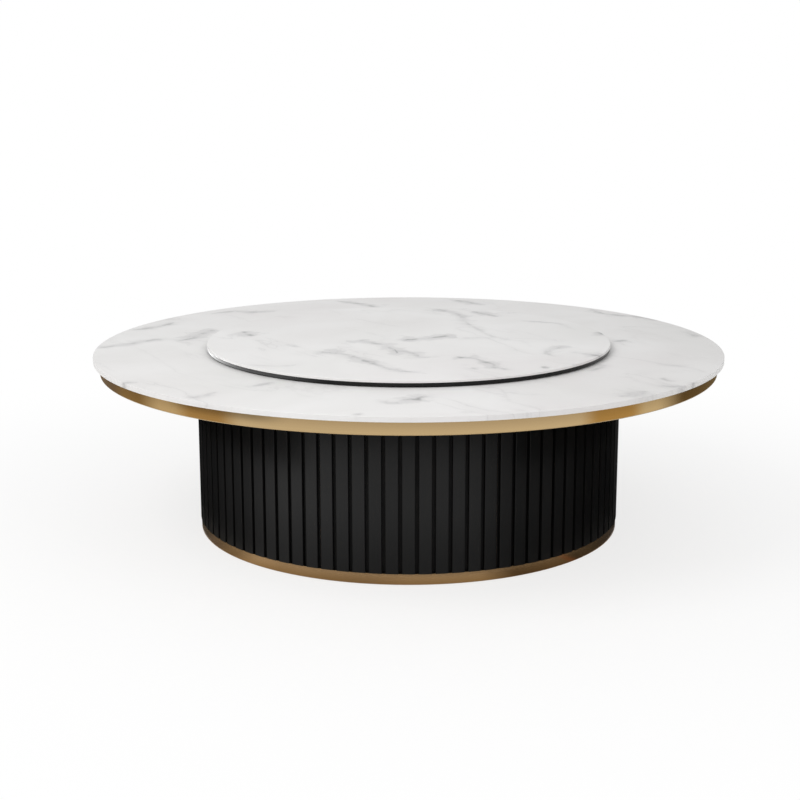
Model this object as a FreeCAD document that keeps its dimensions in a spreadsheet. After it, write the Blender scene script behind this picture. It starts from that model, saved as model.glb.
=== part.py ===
"""Round banquet table on a slatted drum, with a hand-turned lazy susan on a ball bearing.

Millimetres, +Z up. The origin is on the floor at the table's centre, and -Y is the front.
"""
import FreeCAD, Part
import os
import re
import Sketcher

# Driving sizes: name, value, meaning. Lengths are in millimetres and angles in degrees.
SIZES = (
    # dining top
    ("table_diameter", 2600, "stone top, across"),
    ("table_height", 750, "floor to the stone's upper face"),
    ("stone_thickness", 20, "stone slab"),
    ("stone_overhang", 26, "stone's edge past the metal band"),
    ("stone_round", 2, "rounding of the stone's upper edge"),
    ("stone_pieces", 4, "slabs that make the stone ring"),
    ("dining_width", 461, "width of the stone ring outside the lazy susan"),
    ("stone_tuck", 69, "width of the stone ring under the lazy susan"),
    ("seam_angle", 0.02, "joint between two pieces of one ring"),
    ("glue_gap", 0.2, "glue between two curved pieces"),
    # metal band under the stone's edge
    ("band_height", 54, "visible height"),
    ("band_sheet", 1.5, "metal sheet"),
    ("band_roll", 6, "outer radius of the rolled lower edge"),
    ("band_return", 26, "width of the flange that turns in under the fascia"),
    # boards under the stone
    ("top_board_thickness", 18, "plywood under the stone"),
    ("board_seam", 0.4, "joint between the halves of a round board"),
    ("fascia_width", 92, "build-up under the board's rim"),
    ("fascia_pieces", 8, "arcs that make the fascia"),
    ("fascia_screws_per_arc", 3, "screws in each arc"),
    ("fascia_screw_inset", 57, "screw to the fascia's outer face"),
    # steel frame between the drum and the top board
    ("arm_height", 40, "tube, upright side"),
    ("arm_width", 25, "tube, flat side"),
    ("arm_wall", 2, "tube wall"),
    ("arm_inner_end", 60, "tube's inner end to the centre"),
    ("arm_end_gap", 28, "tube's outer end to the fascia"),
    ("arm_screw_start", 300, "tube's inner screw into the top board, to the centre"),
    ("arm_screw_offset", 70, "tube's middle screw, to its bolt on the drum"),
    ("arm_screw_margin", 62.3, "tube's outer screw, to the tube's outer end"),
    ("access_hole", 14, "hole in the tube's lower wall for the screwdriver"),
    ("hub_radius", 160, "plate that the tubes meet on"),
    ("hub_thickness", 4, "plate"),
    ("hub_bolt_circle", 120, "radius of the bolt circle on the plate"),
    ("ring_bolt_margin", 54.7, "bolt to the inner edge of the drum's top ring"),
    # drum
    ("drum_setback", 417.3, "stone's edge past the slats' front faces"),
    ("slat_width", 48, "slat"),
    ("slat_thickness", 15, "slat"),
    ("slat_edge", 1.5, "chamfer along the slat's front edges"),
    ("slats_per_panel", 11, "slats glued on each bent panel"),
    ("panel_count", 8, "bent panels round the drum"),
    ("panel_thickness", 12, "bent plywood"),
    ("stud_width", 50, "stud, along the wall"),
    ("stud_depth", 40, "stud, across the wall"),
    ("top_ring_width", 150, "ring on the studs"),
    ("top_ring_thickness", 18, "ring on the studs"),
    # foot
    ("plinth_height", 45, "floor to the slats"),
    ("plinth_inset", 2.7, "metal trim behind the slats' faces"),
    ("plinth_sheet", 1.5, "metal sheet"),
    ("base_board_thickness", 18, "plywood floor of the drum"),
    ("curb_width", 80, "ring between the base board and the studs"),
    ("glide_height", 3, "glide, under the base board"),
    ("glide_diameter", 50, "glide"),
    ("glide_stem", 8, "diameter of the glide's stem"),
    ("glide_stem_length", 12, "stem inside the base board"),
    ("glide_inset", 138.3, "glide's centre to the base board's rim"),
    ("glide_count", 12, "glides"),
    # straps over the joints of the round boards
    ("strap_length", 160, "strap, across the joint"),
    ("strap_width", 40, "strap"),
    ("strap_sheet", 2.5, "strap"),
    ("strap_screw_offset", 60, "screw to the joint"),
    ("base_strap_inner", 260, "inner straps on the base board, to the centre"),
    ("base_strap_margin", 278.3, "outer straps on the base board, to its rim"),
    ("top_strap_inner", 450, "inner straps under the top board, to the centre"),
    ("top_strap_margin", 272.3, "outer straps under the top board, to its rim"),
    # fasteners
    ("bolt_diameter", 8, "frame bolt"),
    ("bolt_head_diameter", 13, "frame bolt"),
    ("bolt_head_height", 5.3, "frame bolt"),
    ("bolt_tip", 1.5, "bolt past its nut"),
    ("nut_width", 13, "frame nut across its flats"),
    ("nut_height", 6.5, "frame nut"),
    ("long_screw_diameter", 6, "screw into a stud"),
    ("long_screw_head", 12, "screw into a stud"),
    ("long_screw_head_height", 3.5, "screw into a stud"),
    ("long_screw_bite", 30, "length inside the stud"),
    ("wood_screw_diameter", 5, "other screws into wood"),
    ("wood_screw_head", 9.5, "other screws into wood"),
    ("wood_screw_head_height", 3, "other screws into wood"),
    ("wood_screw_bite", 13, "length inside the board"),
    ("turntable_screw_bite", 10, "length inside the lazy susan's board"),
    ("screw_clearance", 0.1, "hole's wall to the screw"),
    ("cut_over", 1, "length that a cut runs past the face it opens"),
    # lazy susan
    ("turntable_gap", 5, "lazy susan's board over the stone top"),
    ("turntable_board_inset", 1, "black board's edge inside the stone disc's edge"),
    ("turntable_board_thickness", 13, "black board"),
    ("turntable_stone_thickness", 9, "stone disc"),
    ("turntable_round", 2.5, "rounding of the disc's upper edge"),
    # ball bearing
    ("bearing_radius", 400, "ball circle"),
    ("bearing_ring_width", 60, "each ring"),
    ("bearing_ring_gap", 3, "between the two rings"),
    ("bearing_screw_offset", 20, "screw circle to the ball circle"),
    ("bearing_screw_count", 8, "screws in each ring"),
    ("bearing_screw_head", 8, "countersunk screw"),
    ("bearing_screw_head_height", 2.5, "countersunk screw"),
    ("bearing_screw_diameter", 4, "countersunk screw"),
    ("ball_diameter", 9, "ball"),
    ("ball_count", 36, "balls"),
    ("ball_clearance", 0.3, "ball to its track"),
    ("cage_thickness", 2, "cage that spaces the balls"),
    ("cage_width", 30, "cage"),
    ("cage_clearance", 0.2, "ball to its pocket"),
    # outer support rollers
    ("roller_count", 6, "rollers"),
    ("roller_inset", 139, "roller's middle to the lazy susan's edge"),
    ("roller_width", 12, "wheel"),
    ("roller_running_gap", 0.3, "wheel under the lazy susan's board"),
    ("roller_floor_gap", 0.7, "wheel over its bracket's plate"),
    ("roller_side_gap", 0.5, "wheel to each ear of the bracket"),
    ("roller_round", 1.5, "rounding of the wheel's rims"),
    ("axle_diameter", 5, "axle"),
    ("axle_head_diameter", 8, "axle"),
    ("axle_head_thickness", 1.5, "axle"),
    ("axle_clearance", 0.05, "wheel's bore to the axle"),
    ("bracket_sheet", 2, "bracket"),
    ("bracket_length", 60, "bracket's plate, along the wheel's path"),
    ("bracket_screw_offset", 21, "screw to the wheel's centre"),
    ("ear_width", 14, "bracket's ear"),
    ("ear_margin", 3, "ear over the axle"),
)
NAMES = {name for name, value, meaning in SIZES}

# Heights that follow from the driving sizes, from the floor up.
BASE_TOP = "(glide_height + base_board_thickness)"
STONE_BOTTOM = "(table_height - stone_thickness)"
BOARD_BOTTOM = f"({STONE_BOTTOM} - top_board_thickness)"
DRUM_TOP = f"({BOARD_BOTTOM} - arm_height)"
STUD_TOP = f"({DRUM_TOP} - top_ring_thickness)"
BAND_BOTTOM = f"({STONE_BOTTOM} - band_height)"
FASCIA_BOTTOM = f"({BAND_BOTTOM} + band_sheet + glue_gap)"
TURNTABLE_BOTTOM = "(table_height + turntable_gap)"
TURNTABLE_STONE_BOTTOM = f"({TURNTABLE_BOTTOM} + turntable_board_thickness)"
BALL_LEVEL = f"(({STONE_BOTTOM} + {TURNTABLE_BOTTOM}) / 2)"
LOWER_RING_TOP = f"({BALL_LEVEL} - bearing_ring_gap / 2)"
UPPER_RING_BOTTOM = f"({BALL_LEVEL} + bearing_ring_gap / 2)"
BRACKET_TOP = f"({STONE_BOTTOM} + bracket_sheet)"
ROLLER_TOP = f"({TURNTABLE_BOTTOM} - roller_running_gap)"
ROLLER_RADIUS = f"(({ROLLER_TOP} - {BRACKET_TOP} - roller_floor_gap) / 2)"
AXLE_LEVEL = f"({ROLLER_TOP} - {ROLLER_RADIUS})"

# Radii that follow from the driving sizes, from the outside in.
TABLE_RADIUS = "(table_diameter / 2)"
TURNTABLE_RADIUS = f"({TABLE_RADIUS} - dining_width)"
TURNTABLE_BOARD_RADIUS = f"({TURNTABLE_RADIUS} - turntable_board_inset)"
WELL_RADIUS = f"({TURNTABLE_RADIUS} - stone_tuck)"
ROLLER_CIRCLE = f"({TURNTABLE_RADIUS} - roller_inset)"
BAND_OUTER = f"({TABLE_RADIUS} - stone_overhang)"
BAND_INNER = f"({BAND_OUTER} - band_sheet)"
BOARD_RADIUS = f"({BAND_INNER} - glue_gap)"
FASCIA_INNER = f"({BOARD_RADIUS} - fascia_width)"
ARM_OUTER_END = f"({FASCIA_INNER} - arm_end_gap)"
TOP_STRAP_OUTER = f"({BOARD_RADIUS} - top_strap_margin)"
SLAT_FACE = f"({TABLE_RADIUS} - drum_setback)"
SLAT_BACK = f"({SLAT_FACE} - slat_thickness)"
PANEL_OUTER = f"({SLAT_BACK} - glue_gap)"
PANEL_INNER = f"({PANEL_OUTER} - panel_thickness)"
TOP_RING_OUTER = f"({PANEL_INNER} - glue_gap)"
TOP_RING_INNER = f"({TOP_RING_OUTER} - top_ring_width)"
RING_BOLT_CIRCLE = f"({TOP_RING_INNER} + ring_bolt_margin)"
STUD_FACE = f"sqrt(({PANEL_INNER} - glue_gap)^2 - (stud_width / 2)^2)"
STUD_CIRCLE = f"({STUD_FACE} - stud_depth / 2)"
PLINTH_OUTER = f"({SLAT_FACE} - plinth_inset)"
PLINTH_INNER = f"({PLINTH_OUTER} - plinth_sheet)"
BASE_RADIUS = f"({PLINTH_INNER} - glue_gap)"
BASE_STRAP_OUTER = f"({BASE_RADIUS} - base_strap_margin)"
GLIDE_CIRCLE = f"({BASE_RADIUS} - glide_inset)"

# Angles between repeated pieces.
PANEL_ANGLE = "(360 / panel_count)"
STUD_ANGLE = f"({PANEL_ANGLE} / 2)"
SLAT_ANGLE = f"({PANEL_ANGLE} / slats_per_panel)"

# Length of the construction lines that profiles are turned about.
AXIS_LENGTH = "100"

# Cubic millimetres that a cut must take away at the least.
LEAST_CUT = 1

doc = FreeCAD.newDocument("BanquetTable")
sheet = doc.addObject("Spreadsheet::Sheet", "Sizes")
subparts = []


def fill_sheet():
    """Writes each driving size into its own named cell."""
    for row, (name, value, meaning) in enumerate(SIZES, start=1):
        sheet.set(f"A{row}", meaning)
        sheet.set(f"B{row}", str(value))
        sheet.setAlias(f"B{row}", name)
    doc.recompute()


def formula(text):
    """Turns the size names in a formula into references to the sheet's cells."""
    return re.sub(r"[a-z_]+", lambda word: f"Sizes.{word[0]}" if word[0] in NAMES else word[0], str(text))


def number(text):
    """Works a formula out to a plain number."""
    return float(sheet.evalExpression(formula(text)))


# ---------------------------------------------------------------- modelling helpers

def new_body(label):
    """Starts a sub-part, which may hold several equal solids."""
    body = doc.addObject("PartDesign::Body", label)
    body.Label = label
    body.AllowCompound = True
    subparts.append(body)
    return body


def origin_feature(body, role):
    """Finds one of the body's own origin planes or axes."""
    return next(feature for feature in body.Origin.OriginFeatures if feature.Role == role)


def turn(body, angle):
    """Turns a finished sub-part about the table's upright axis."""
    body.Placement = FreeCAD.Placement(
        FreeCAD.Vector(0, 0, 0), FreeCAD.Rotation(FreeCAD.Vector(0, 0, 1), number(angle)))


def place_corner(sketch, edge, x, y):
    """Ties the start of an edge to its two formulas."""
    for kind, text in (("DistanceX", x), ("DistanceY", y)):
        value = number(text)
        if value == 0:
            along = -2 if kind == "DistanceX" else -1
            sketch.addConstraint(Sketcher.Constraint("PointOnObject", edge, 1, along))
        else:
            index = sketch.addConstraint(Sketcher.Constraint(kind, -1, 1, edge, 1, value))
            sketch.setExpression(f"Constraints[{index}]", formula(text))


def draw_loop(sketch, corners):
    """Draws a closed outline through corners given as pairs of formulas."""
    points = [FreeCAD.Vector(number(x), number(y), 0) for x, y in corners]
    first = sketch.GeometryCount
    count = len(points)
    for index in range(count):
        sketch.addGeometry(Part.LineSegment(points[index], points[(index + 1) % count]), False)
    for index in range(count):
        following = first + (index + 1) % count
        sketch.addConstraint(Sketcher.Constraint("Coincident", first + index, 2, following, 1))
    for index, (x, y) in enumerate(corners):
        place_corner(sketch, first + index, x, y)


def draw_axis(sketch, start, end):
    """Draws the construction line that a profile is turned about."""
    line = sketch.addGeometry(Part.LineSegment(
        FreeCAD.Vector(number(start[0]), number(start[1]), 0),
        FreeCAD.Vector(number(end[0]), number(end[1]), 0)), True)
    place_corner(sketch, line, *start)
    direction = "Vertical" if start[0] == end[0] else "Horizontal"
    sketch.addConstraint(Sketcher.Constraint(direction, line))
    length = max(abs(number(end[0]) - number(start[0])), abs(number(end[1]) - number(start[1])))
    sketch.addConstraint(Sketcher.Constraint("Distance", line, length))


def new_sketch(body, role, loops, shift=None):
    """Puts a sketch of closed outlines on one of the body's planes, moved along its normal."""
    sketch = body.newObject("Sketcher::SketchObject", "outline")
    sketch.AttachmentSupport = [(origin_feature(body, role), "")]
    sketch.MapMode = "FlatFace"
    if shift is not None:
        sketch.setExpression("AttachmentOffset.Base.z", formula(shift))
    for corners in loops:
        draw_loop(sketch, corners)
    return sketch


def box_loop(left, right, bottom, top):
    """Corners of an upright rectangle."""
    return [(left, bottom), (right, bottom), (right, top), (left, top)]


def revolve(body, corners, angle="360", axis=None, shift=None, cut=False):
    """Turns a profile in the XZ plane, by default about the table's upright axis."""
    sketch = new_sketch(body, "XZ_Plane", [corners], shift)
    if axis is not None:
        draw_axis(sketch, *axis)
    kind = "PartDesign::Groove" if cut else "PartDesign::Revolution"
    feature = body.newObject(kind, "turned_cut" if cut else "turned")
    feature.Profile = sketch
    feature.ReferenceAxis = (sketch, ["V_Axis" if axis is None else "Axis0"])
    feature.Midplane = True
    feature.setExpression("Angle", formula(angle))
    body.Tip = feature
    return feature


def upright_axis(x):
    """Axis line of a fastener that stands upright at the given distance along X."""
    return ((x, "0"), (x, AXIS_LENGTH))


def pad(body, role, loops, start, length):
    """Pads outlines from a level above one of the body's planes."""
    feature = body.newObject("PartDesign::Pad", "padded")
    feature.Profile = new_sketch(body, role, loops, start)
    feature.setExpression("Length", formula(length))
    body.Tip = feature
    return feature


def repeat(body, feature, count, angle="360"):
    """Repeats a feature round the table's upright axis."""
    pattern = body.newObject("PartDesign::PolarPattern", "around")
    pattern.Originals = [feature]
    pattern.Axis = (origin_feature(body, "Z_Axis"), [""])
    pattern.setExpression("Angle", formula(angle))
    pattern.setExpression("Occurrences", formula(count))
    body.Tip = pattern
    return pattern


def round_edges(body, radius, circles):
    """Rounds the circular edges that have one of the given radii and levels."""
    doc.recompute()
    base = body.Tip
    wanted = [(number(circle_radius), number(level)) for circle_radius, level in circles]
    names = []
    for index, edge in enumerate(base.Shape.Edges, start=1):
        if not isinstance(edge.Curve, Part.Circle):
            continue
        for circle_radius, level in wanted:
            same_radius = abs(edge.Curve.Radius - circle_radius) < 0.01
            if same_radius and abs(edge.Curve.Center.z - level) < 0.01:
                names.append(f"Edge{index}")
    fillet = body.newObject("PartDesign::Fillet", "rounded")
    fillet.Base = (base, names)
    fillet.setExpression("Radius", formula(radius))
    body.Tip = fillet


def keep_half(body, radius):
    """Cuts a round board down to its half on the +X side."""
    reach = f"({radius} + cut_over)"
    half = [(f"-{reach}", f"-{reach}"), ("board_seam / 2", f"-{reach}"),
            ("board_seam / 2", reach), (f"-{reach}", reach)]
    feature = body.newObject("PartDesign::Pocket", "other_half")
    feature.Profile = new_sketch(body, "XY_Plane", [half])
    feature.Midplane = True
    feature.setExpression("Length", formula("table_height * 2"))
    body.Tip = feature


def drill(body, circle, radius, bottom, top, count, shift=None):
    """Drills a ring of upright holes, each given by its radius and its two levels."""
    corners = box_loop(circle, f"{circle} + {radius}", bottom, top)
    hole = revolve(body, corners, axis=upright_axis(circle), shift=shift, cut=True)
    return repeat(body, hole, count)


def turned_drill(body, circle, radius, bottom, top, count, angle, aside="0"):
    """Drills a ring of holes whose first one lies at an angle from the X axis."""
    along = f"(({circle}) * cos(({angle}) * 1 deg) - ({aside}) * sin(({angle}) * 1 deg))"
    across = f"(({circle}) * sin(({angle}) * 1 deg) + ({aside}) * cos(({angle}) * 1 deg))"
    drill(body, along, radius, bottom, top, count, f"-({across})")


def screw_profile(circle, head_radius, radius, head_low, head_high, tip):
    """Half outline of a screw that stands upright, its head from head_low to head_high."""
    if number(tip) > number(head_high):
        return [(circle, head_low), (f"{circle} + {head_radius}", head_low),
                (f"{circle} + {head_radius}", head_high), (f"{circle} + {radius}", head_high),
                (f"{circle} + {radius}", tip), (circle, tip)]
    return [(circle, tip), (f"{circle} + {radius}", tip), (f"{circle} + {radius}", head_low),
            (f"{circle} + {head_radius}", head_low), (f"{circle} + {head_radius}", head_high),
            (circle, head_high)]


def screws(body, circle, head_radius, radius, head_low, head_high, tip, count, shift=None):
    """Makes a ring of equal upright screws or bolts."""
    corners = screw_profile(circle, head_radius, radius, head_low, head_high, tip)
    one = revolve(body, corners, axis=upright_axis(circle), shift=shift)
    return repeat(body, one, count)


# ---------------------------------------------------------------- foot and drum

STUD_COUNT = "(panel_count * 2)"
LONG_SCREW_HEAD = "(long_screw_head / 2)"
LONG_SCREW = "(long_screw_diameter / 2)"
LONG_HOLE = f"({LONG_SCREW} + screw_clearance)"
LONG_SINK = f"({LONG_SCREW_HEAD} + screw_clearance)"
LOWER_HEAD_TOP = "(glide_height + long_screw_head_height)"
UPPER_HEAD_BOTTOM = f"({DRUM_TOP} - long_screw_head_height)"
LOWER_SCREW_TIP = "(plinth_height + long_screw_bite)"
UPPER_SCREW_TIP = f"({STUD_TOP} - long_screw_bite)"
WOOD_SCREW_HEAD = "(wood_screw_head / 2)"
WOOD_SCREW = "(wood_screw_diameter / 2)"
WOOD_HOLE = f"({WOOD_SCREW} + screw_clearance)"
BOLT = "(bolt_diameter / 2)"
BOLT_HOLE = f"({BOLT} + screw_clearance)"


def strap_screw_rows(inner, outer):
    """Places of the strap screws: distance along X, and distance along Y."""
    return [(side, row) for row in (inner, outer) for side in ("strap_screw_offset", "-strap_screw_offset")]


def make_floor_glides():
    """Plastic glides with a stem pressed into the base board."""
    body = new_body("floor_glides")
    one = revolve(body, screw_profile(GLIDE_CIRCLE, "glide_diameter / 2", "glide_stem / 2", "0",
                                      "glide_height", "glide_height + glide_stem_length"),
                  axis=upright_axis(GLIDE_CIRCLE))
    repeat(body, one, "glide_count")
    turn(body, "180 / glide_count")


def make_base_board(label, half_turn):
    """Half of the round plywood floor of the drum."""
    body = new_body(label)
    revolve(body, box_loop("0", BASE_RADIUS, "glide_height", BASE_TOP))
    drill(body, STUD_CIRCLE, LONG_HOLE, "glide_height - cut_over", f"{BASE_TOP} + cut_over", STUD_COUNT)
    drill(body, STUD_CIRCLE, LONG_SINK, "glide_height - cut_over", LOWER_HEAD_TOP, STUD_COUNT)
    turned_drill(body, GLIDE_CIRCLE, "(glide_stem / 2 + screw_clearance)", "glide_height - cut_over",
                 "glide_height + glide_stem_length + cut_over", "glide_count", "180 / glide_count")
    for along, row in strap_screw_rows("base_strap_inner", BASE_STRAP_OUTER):
        drill(body, along, WOOD_HOLE, f"{BASE_TOP} - wood_screw_bite - cut_over",
              f"{BASE_TOP} + cut_over", "2", row)
    keep_half(body, BASE_RADIUS)
    turn(body, half_turn)


def strap_set(body, inner, outer, level):
    """Steel straps across the joint of one round board, two on each side of the centre."""
    for row in (inner, outer):
        loop = [("-strap_length / 2", f"{row} - strap_width / 2"),
                ("strap_length / 2", f"{row} - strap_width / 2"),
                ("strap_length / 2", f"{row} + strap_width / 2"),
                ("-strap_length / 2", f"{row} + strap_width / 2")]
        repeat(body, pad(body, "XY_Plane", [loop], level, "strap_sheet"), "2")
    for along, row in strap_screw_rows(inner, outer):
        drill(body, along, WOOD_HOLE, f"{level} - cut_over", f"{level} + strap_sheet + cut_over", "2", row)


def make_straps():
    """Straps on the base board and under the top board."""
    body = new_body("board_straps")
    strap_set(body, "base_strap_inner", BASE_STRAP_OUTER, BASE_TOP)
    strap_set(body, "top_strap_inner", TOP_STRAP_OUTER, f"{BOARD_BOTTOM} - strap_sheet")


def make_strap_screws():
    """Screws of the straps: down into the base board, and up into the top board."""
    body = new_body("strap_screws")
    seat = f"{BASE_TOP} + strap_sheet"
    for along, row in strap_screw_rows("base_strap_inner", BASE_STRAP_OUTER):
        screws(body, along, WOOD_SCREW_HEAD, WOOD_SCREW, seat, f"{seat} + wood_screw_head_height",
               f"{BASE_TOP} - wood_screw_bite", "2", row)
    ceiling = f"{BOARD_BOTTOM} - strap_sheet"
    for along, row in strap_screw_rows("top_strap_inner", TOP_STRAP_OUTER):
        screws(body, along, WOOD_SCREW_HEAD, WOOD_SCREW, f"{ceiling} - wood_screw_head_height", ceiling,
               f"{BOARD_BOTTOM} + wood_screw_bite", "2", row)


def make_curb():
    """Eight arcs on the base board that the studs, panels and slats stand on."""
    body = new_body("base_curb")
    ring_of_arcs(body, box_loop(f"{BASE_RADIUS} - curb_width", BASE_RADIUS, BASE_TOP, "plinth_height"),
                 "panel_count")
    stud_holes(body, f"{BASE_TOP} - cut_over", "plinth_height + cut_over", LONG_HOLE)
    turn(body, f"{STUD_ANGLE} / 2")


def ring_of_arcs(body, corners, count):
    """Makes a ring from equal arcs with a fine joint between them."""
    arc = revolve(body, corners, angle=f"360 / {count} - seam_angle")
    repeat(body, arc, count)


def stud_holes(body, bottom, top, radius):
    """Holes over the studs in a ring of arcs, before the ring is turned by a quarter of a panel."""
    turned_drill(body, STUD_CIRCLE, radius, bottom, top, STUD_COUNT, f"-({STUD_ANGLE} / 2)")


def make_plinth_trim():
    """Brass-finished sheet round the foot."""
    body = new_body("plinth_trim")
    revolve(body, box_loop(PLINTH_INNER, PLINTH_OUTER, "glide_height", "plinth_height"))


def make_drum_panels():
    """Bent plywood panels, each with its own set of slats."""
    for index in range(int(number("panel_count"))):
        body = new_body(f"drum_panel_{index + 1}")
        revolve(body, box_loop(PANEL_INNER, PANEL_OUTER, "plinth_height", DRUM_TOP),
                angle=f"{PANEL_ANGLE} - seam_angle")
        turn(body, f"{PANEL_ANGLE} * {index}")


def make_slats():
    """Flat black slats, one set for each panel."""
    half = "slat_width / 2"
    outline = [(SLAT_BACK, f"-({half})"), (f"{SLAT_FACE} - slat_edge", f"-({half})"),
               (SLAT_FACE, f"-({half} - slat_edge)"), (SLAT_FACE, f"{half} - slat_edge"),
               (f"{SLAT_FACE} - slat_edge", half), (SLAT_BACK, half)]
    spread = f"({SLAT_ANGLE} * (slats_per_panel - 1))"
    for index in range(int(number("panel_count"))):
        body = new_body(f"slat_set_{index + 1}")
        one = pad(body, "XY_Plane", [outline], "plinth_height", f"{DRUM_TOP} - plinth_height")
        repeat(body, one, "slats_per_panel", spread)
        turn(body, f"{PANEL_ANGLE} * {index} - {spread} / 2")


def make_studs():
    """Upright timbers behind the panels' middles and joints."""
    body = new_body("drum_studs")
    loop = [(f"{STUD_FACE} - stud_depth", "-stud_width / 2"), (STUD_FACE, "-stud_width / 2"),
            (STUD_FACE, "stud_width / 2"), (f"{STUD_FACE} - stud_depth", "stud_width / 2")]
    repeat(body, pad(body, "XY_Plane", [loop], "plinth_height", f"{STUD_TOP} - plinth_height"), STUD_COUNT)
    drill(body, STUD_CIRCLE, LONG_HOLE, "plinth_height - cut_over", f"{LOWER_SCREW_TIP} + cut_over",
          STUD_COUNT)
    drill(body, STUD_CIRCLE, LONG_HOLE, f"{UPPER_SCREW_TIP} - cut_over", f"{STUD_TOP} + cut_over",
          STUD_COUNT)


def make_top_ring():
    """Eight arcs on the studs that carry the steel frame."""
    body = new_body("drum_top_ring")
    ring_of_arcs(body, box_loop(TOP_RING_INNER, TOP_RING_OUTER, STUD_TOP, DRUM_TOP), "panel_count")
    stud_holes(body, f"{STUD_TOP} - cut_over", f"{DRUM_TOP} + cut_over", LONG_HOLE)
    stud_holes(body, UPPER_HEAD_BOTTOM, f"{DRUM_TOP} + cut_over", LONG_SINK)
    quarter = f"({STUD_ANGLE} / 2)"
    turned_drill(body, RING_BOLT_CIRCLE, BOLT_HOLE, f"{STUD_TOP} - cut_over", f"{DRUM_TOP} + cut_over",
                 "panel_count", quarter)
    turn(body, quarter)


def make_stud_screws():
    """Long screws at the foot and at the head of each stud."""
    lower = new_body("stud_screws_lower")
    screws(lower, STUD_CIRCLE, LONG_SCREW_HEAD, LONG_SCREW, "glide_height", LOWER_HEAD_TOP,
           LOWER_SCREW_TIP, STUD_COUNT)
    upper = new_body("stud_screws_upper")
    screws(upper, STUD_CIRCLE, LONG_SCREW_HEAD, LONG_SCREW, UPPER_HEAD_BOTTOM, DRUM_TOP,
           UPPER_SCREW_TIP, STUD_COUNT)


# ---------------------------------------------------------------- steel frame

NUT_BOTTOM = f"({DRUM_TOP} + arm_wall)"
BOLT_TIP = f"({NUT_BOTTOM} + nut_height + bolt_tip)"
TUBE_CEILING = f"({BOARD_BOTTOM} - arm_wall)"
HUB_BOTTOM = f"({DRUM_TOP} - hub_thickness)"
ARM_TURN = STUD_ANGLE
ARM_SCREW_CIRCLES = ("arm_screw_start", f"({RING_BOLT_CIRCLE} - arm_screw_offset)",
                     f"({ARM_OUTER_END} - arm_screw_margin)")


def make_frame_arms():
    """Steel tubes that lie on the drum and reach out under the top."""
    body = new_body("frame_arms")
    wall = "arm_wall"
    outer = [("-arm_width / 2", DRUM_TOP), ("arm_width / 2", DRUM_TOP),
             ("arm_width / 2", BOARD_BOTTOM), ("-arm_width / 2", BOARD_BOTTOM)]
    inner = [(f"-(arm_width / 2 - {wall})", NUT_BOTTOM), (f"arm_width / 2 - {wall}", NUT_BOTTOM),
             (f"arm_width / 2 - {wall}", TUBE_CEILING), (f"-(arm_width / 2 - {wall})", TUBE_CEILING)]
    tube = pad(body, "YZ_Plane", [outer, inner], "arm_inner_end", f"{ARM_OUTER_END} - arm_inner_end")
    repeat(body, tube, "panel_count")
    low = f"{DRUM_TOP} - cut_over"
    for circle in ("hub_bolt_circle", RING_BOLT_CIRCLE):
        drill(body, circle, BOLT_HOLE, low, f"{NUT_BOTTOM} + cut_over", "panel_count")
    for circle in ARM_SCREW_CIRCLES:
        drill(body, circle, "access_hole / 2", low, f"{NUT_BOTTOM} + cut_over", "panel_count")
        drill(body, circle, WOOD_HOLE, f"{TUBE_CEILING} - cut_over", f"{BOARD_BOTTOM} + cut_over",
              "panel_count")
    turn(body, ARM_TURN)


def make_hub():
    """Steel plate that the tubes' inner ends are bolted to."""
    body = new_body("frame_hub")
    revolve(body, box_loop("0", "hub_radius", HUB_BOTTOM, DRUM_TOP))
    drill(body, "hub_bolt_circle", BOLT_HOLE, f"{HUB_BOTTOM} - cut_over", f"{DRUM_TOP} + cut_over",
          "panel_count")
    turn(body, ARM_TURN)


def make_frame_bolts():
    """Bolts from below through the hub plate and through the drum's top ring."""
    for label, circle, seat in (("hub_bolts", "hub_bolt_circle", HUB_BOTTOM),
                                ("ring_bolts", RING_BOLT_CIRCLE, STUD_TOP)):
        body = new_body(label)
        screws(body, circle, "bolt_head_diameter / 2", BOLT, f"{seat} - bolt_head_height", seat,
               BOLT_TIP, "panel_count")
        turn(body, ARM_TURN)


def make_frame_nuts():
    """Hexagon nuts inside the tubes."""
    body = new_body("frame_nuts")
    corner = "(nut_width / 2 / cos(30 deg))"
    for circle in ("hub_bolt_circle", RING_BOLT_CIRCLE):
        hexagon = [(f"{circle} + {corner} * cos({60 * step} deg)", f"{corner} * sin({60 * step} deg)")
                   for step in range(6)]
        nut = pad(body, "XY_Plane", [hexagon], NUT_BOTTOM, "nut_height")
        repeat(body, nut, "panel_count")
        drill(body, circle, BOLT_HOLE, f"{NUT_BOTTOM} - cut_over", f"{NUT_BOTTOM} + nut_height + cut_over",
              "panel_count")
    turn(body, ARM_TURN)


def make_arm_screws():
    """Screws from inside the tubes up into the top board."""
    body = new_body("arm_screws")
    for circle in ARM_SCREW_CIRCLES:
        screws(body, circle, WOOD_SCREW_HEAD, WOOD_SCREW, f"{TUBE_CEILING} - wood_screw_head_height",
               TUBE_CEILING, f"{BOARD_BOTTOM} + wood_screw_bite", "panel_count")
    turn(body, ARM_TURN)


# ---------------------------------------------------------------- dining top

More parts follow.
